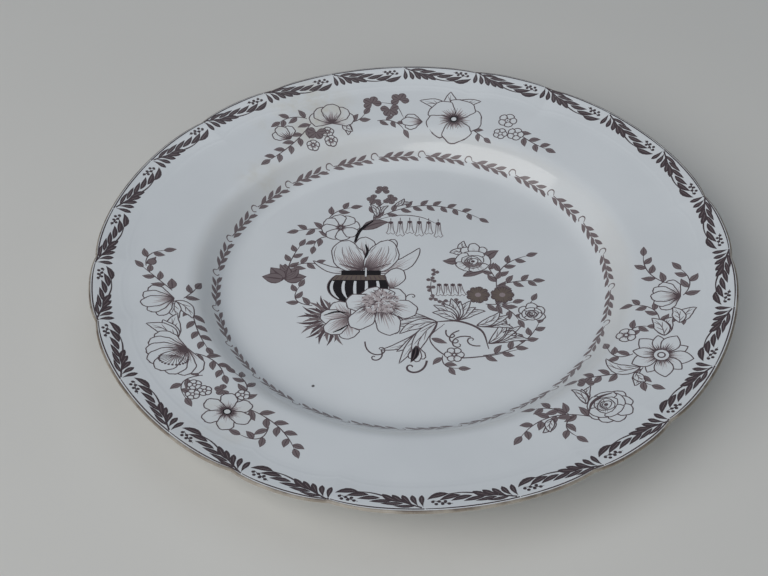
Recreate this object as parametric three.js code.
// A printed china dinner plate: a fired clay body inside its glaze, with the printed films and the painted
// edge line that lie on the glaze. Millimetres, +Z up, origin on the table under the plate's centre.
import * as THREE from "three";
import { mergeVertices } from "three/addons/utils/BufferGeometryUtils.js";

// --- driving dimensions ---------------------------------------------------------------------------------
const RIM_RADIUS = 131; // to the crown of a lobe
const FLOOR_HEIGHT = 7.6; // top of the well's floor
const RECESS_HEIGHT = 3.6; // underside of the floor, inside the foot ring
const GLAZE = 0.25; // thickness of the glaze coat
const FILM = 0.06; // thickness of a printed or painted film
const CLEARANCE = 0.03; // between the coats, which touch in the real plate

// The rim has a short and a long lobe in turn, with a shallow nick between them.
const LOBE_PAIRS = 6;
const SHORT_LOBE_MIDDLE = 8.5; // degrees, the first short lobe
const SHORT_LOBE_SPAN = 17; // degrees
const NICK_DEPTH = 1.4;
const SHORT_LOBE_POWER = 3; // how flat a lobe's crown is: higher is flatter
const LONG_LOBE_POWER = 6;
const SHAPED_FROM = 100; // the lobes fade in between these radii
const SHAPED_TO = 128;
const SHORT_LOBE_STEPS = 3;
const LONG_LOBE_STEPS = 7;

// --- section of the glazed surface, as [radius, height] -------------------------------------------------
const FACE = [
  [0, FLOOR_HEIGHT],
  [72, FLOOR_HEIGHT],
  [76, 8.0],
  [78.6, 8.9],
  [80.8, 10.3],
  [83, 12.1],
  [85.8, 14.9],
  [88.4, 16.9],
  [91, 17.9],
  [104, 19.8],
  [117, 21.6],
  [121.2, 22.6],
  [125.4, 23.5],
  [129.2, 24.4],
  [129.6, 24.45],
  [130.4, 24.4],
  [130.9, 24.05],
];
const BACK = [
  [RIM_RADIUS, 23.5],
  [130.6, 22.9],
  [127, 20.6],
  [117, 17.4],
  [104, 15.4],
  [92, 13.3],
  [86, 9.9],
  [81, 5.6],
  [78.2, 3.2],
  [76.9, 1.6],
  [76.5, 0.6],
];
// The foot ring stands on its bare clay edge, between the two glazes.
const FOOT = [
  [75.7, 0],
  [73.7, 0],
];
const RECESS = [
  [73, 0.6],
  [72.2, 2],
  [70.8, 3.2],
  [66, RECESS_HEIGHT],
  [0, RECESS_HEIGHT],
];

// --- printed films: the radii are points of FACE, and the spans are steps round the rim ------------------
const BORDER_BAND = [121.2, 129.2];
const EDGE_LINE_BAND = [129.6, 130.9];
const VERGE_BAND = [78.6, 83];
const SPRAY_BAND = [91, 117];
const SPRAYS = [
  { name: "spray_transfer_back", from: 8, steps: 16 },
  { name: "spray_transfer_left", from: 28, steps: 14 },
  { name: "spray_transfer_right", from: 48, steps: 14 },
];
const BOUQUET_OUTLINE = [
  [-62, 4],
  [-50, 30],
  [-28, 54],
  [-6, 62],
  [26, 54],
  [34, 34],
  [54, 22],
  [58, -12],
  [52, -38],
  [24, -52],
  [-4, -53],
  [-38, -40],
  [-56, -16],
];
const BACKSTAMP_RADIUS = 12;

// --- materials -------------------------------------------------------------------------------------------
const CLAY = new THREE.MeshStandardMaterial({ color: 0xd9cdb8, roughness: 0.85, metalness: 0 });
const GLAZED = new THREE.MeshStandardMaterial({ color: 0xe4e6e6, roughness: 0.12, metalness: 0 });
const INK = new THREE.MeshStandardMaterial({ color: 0x4a383a, roughness: 0.2, metalness: 0 });
const LINE = new THREE.MeshStandardMaterial({ color: 0x5c4a3c, roughness: 0.3, metalness: 0 });

// --- the shaped rim --------------------------------------------------------------------------------------
const PAIR_STEPS = SHORT_LOBE_STEPS + LONG_LOBE_STEPS;
const STEPS = LOBE_PAIRS * PAIR_STEPS;
const PAIR_SPAN = 360 / LOBE_PAIRS;
const LONG_LOBE_SPAN = PAIR_SPAN - SHORT_LOBE_SPAN;

// Angle in radians of a step round the rim. Each nick falls on a step.
function angleOf(step) {
  const pair = Math.floor(step / PAIR_STEPS);
  const within = step - pair * PAIR_STEPS;
  const inShort = Math.min(within, SHORT_LOBE_STEPS) / SHORT_LOBE_STEPS;
  const inLong = Math.max(within - SHORT_LOBE_STEPS, 0) / LONG_LOBE_STEPS;
  const first = SHORT_LOBE_MIDDLE - SHORT_LOBE_SPAN / 2;
  const degrees = first + pair * PAIR_SPAN + inShort * SHORT_LOBE_SPAN + inLong * LONG_LOBE_SPAN;
  return THREE.MathUtils.degToRad(degrees);
}

// How far the rim is drawn in at a step: nothing at a lobe's crown, NICK_DEPTH at a nick.
function drawnIn(step) {
  const within = THREE.MathUtils.euclideanModulo(step, PAIR_STEPS);
  const short = within < SHORT_LOBE_STEPS;
  const span = short ? SHORT_LOBE_STEPS : LONG_LOBE_STEPS;
  const fromCrown = Math.abs(((within - (short ? 0 : SHORT_LOBE_STEPS)) / span) * 2 - 1);
  return NICK_DEPTH * fromCrown ** (short ? SHORT_LOBE_POWER : LONG_LOBE_POWER);
}

function shapedPoint([radius, height], step) {
  const share = THREE.MathUtils.smoothstep(radius, SHAPED_FROM, SHAPED_TO);
  const shaped = radius - drawnIn(step) * share;
  const angle = angleOf(THREE.MathUtils.euclideanModulo(step, STEPS));
  return [shaped * Math.cos(angle), shaped * Math.sin(angle), height];
}

// --- building blocks -------------------------------------------------------------------------------------
// Moves a section sideways, to the right of its direction of travel.
function offset(section, distance) {
  return section.map(([r, z], i) => {
    const [r0, z0] = section[Math.max(i - 1, 0)];
    const [r1, z1] = section[Math.min(i + 1, section.length - 1)];
    const length = Math.hypot(r1 - r0, z1 - z0);
    const moved = r + ((z1 - z0) / length) * distance;
    return [r === 0 ? 0 : moved, z - ((r1 - r0) / length) * distance];
  });
}

// A closed coat between two depths below a stretch of the section.
function coat(section, outer, inner) {
  return [...offset(section, outer), ...offset(section, inner).reverse()];
}

// Turns a section round the axis, following the lobes. The section runs out along its upper side and back
// along its lower side; one that doesn't start on the axis is closed on itself. Every four-cornered facet is
// split from its inner corner to the next step's outer corner, so that coats over each other stay parallel.
function turned(section, from = 0, steps = STEPS) {
  const loop = section[0][0] > 0 ? [...section, section[0]] : section;
  const points = [];
  for (let i = 0; i <= steps; i++) {
    for (const point of loop) points.push(...shapedPoint(point, from + i));
  }
  const corner = (i, j) => i * loop.length + j;
  const faces = [];
  for (let i = 0; i < steps; i++) {
    for (let j = 0; j + 1 < loop.length; j++) {
      const here = corner(i, j);
      const along = corner(i, j + 1);
      const beside = corner(i + 1, j);
      const across = corner(i + 1, j + 1);
      const outward = loop[j + 1][0] > loop[j][0];
      if (outward) faces.push(here, across, beside, here, along, across);
      else faces.push(here, along, beside, across, beside, along);
    }
  }
  if (steps < STEPS) {
    const outline = section.map(([r, z]) => new THREE.Vector2(r, z));
    for (const [a, b, c] of THREE.ShapeUtils.triangulateShape(outline, [])) {
      faces.push(corner(0, a), corner(0, b), corner(0, c));
      faces.push(corner(steps, c), corner(steps, b), corner(steps, a));
    }
  }
  const open = new THREE.BufferGeometry();
  open.setAttribute("position", new THREE.Float32BufferAttribute(points, 3));
  open.setIndex(faces);
  const closed = mergeVertices(open, 1e-4);
  closed.computeVertexNormals();
  return closed;
}

// The points of FACE between two of its radii.
function stretch([low, high]) {
  return FACE.filter(([radius]) => radius >= low && radius <= high);
}

// A film lying on the face glaze, over a band of it.
function film(band, from, steps) {
  return turned(coat(stretch(band), -CLEARANCE - FILM, -CLEARANCE), from, steps);
}

// --- pieces ----------------------------------------------------------------------------------------------
const plate = new THREE.Group();

function add(name, geometry, material) {
  const mesh = new THREE.Mesh(geometry, material);
  mesh.name = name;
  plate.add(mesh);
  return mesh;
}

const GLAZED_SECTION = [...FACE, ...BACK];
const CLAY_DEPTH = GLAZE + CLEARANCE;
const claySection = [...offset(GLAZED_SECTION, CLAY_DEPTH), ...FOOT, ...offset(RECESS, CLAY_DEPTH)];
const recessFromAxis = [...RECESS].reverse();

add("clay_body", turned(claySection), CLAY);
add("face_glaze", turned(coat(GLAZED_SECTION, 0, GLAZE)), GLAZED);
add("recess_glaze", turned(coat(recessFromAxis, -GLAZE, 0)), GLAZED);
add("border_transfer", film(BORDER_BAND), INK);
add("edge_line", film(EDGE_LINE_BAND), LINE);
add("verge_transfer", film(VERGE_BAND), INK);
for (const { name, from, steps } of SPRAYS) add(name, film(SPRAY_BAND, from, steps), INK);

const bouquet = new THREE.Shape(BOUQUET_OUTLINE.map(([x, y]) => new THREE.Vector2(x, y)));
const bouquetFilm = new THREE.ExtrudeGeometry(bouquet, { depth: FILM, bevelEnabled: false });
add("centre_transfer", bouquetFilm, INK).position.z = FLOOR_HEIGHT + CLEARANCE;

const stampFilm = new THREE.CylinderGeometry(BACKSTAMP_RADIUS, BACKSTAMP_RADIUS, FILM, 32);
stampFilm.rotateX(Math.PI / 2);
add("backstamp_transfer", stampFilm, INK).position.z = RECESS_HEIGHT - CLEARANCE - FILM / 2;

export default plate;
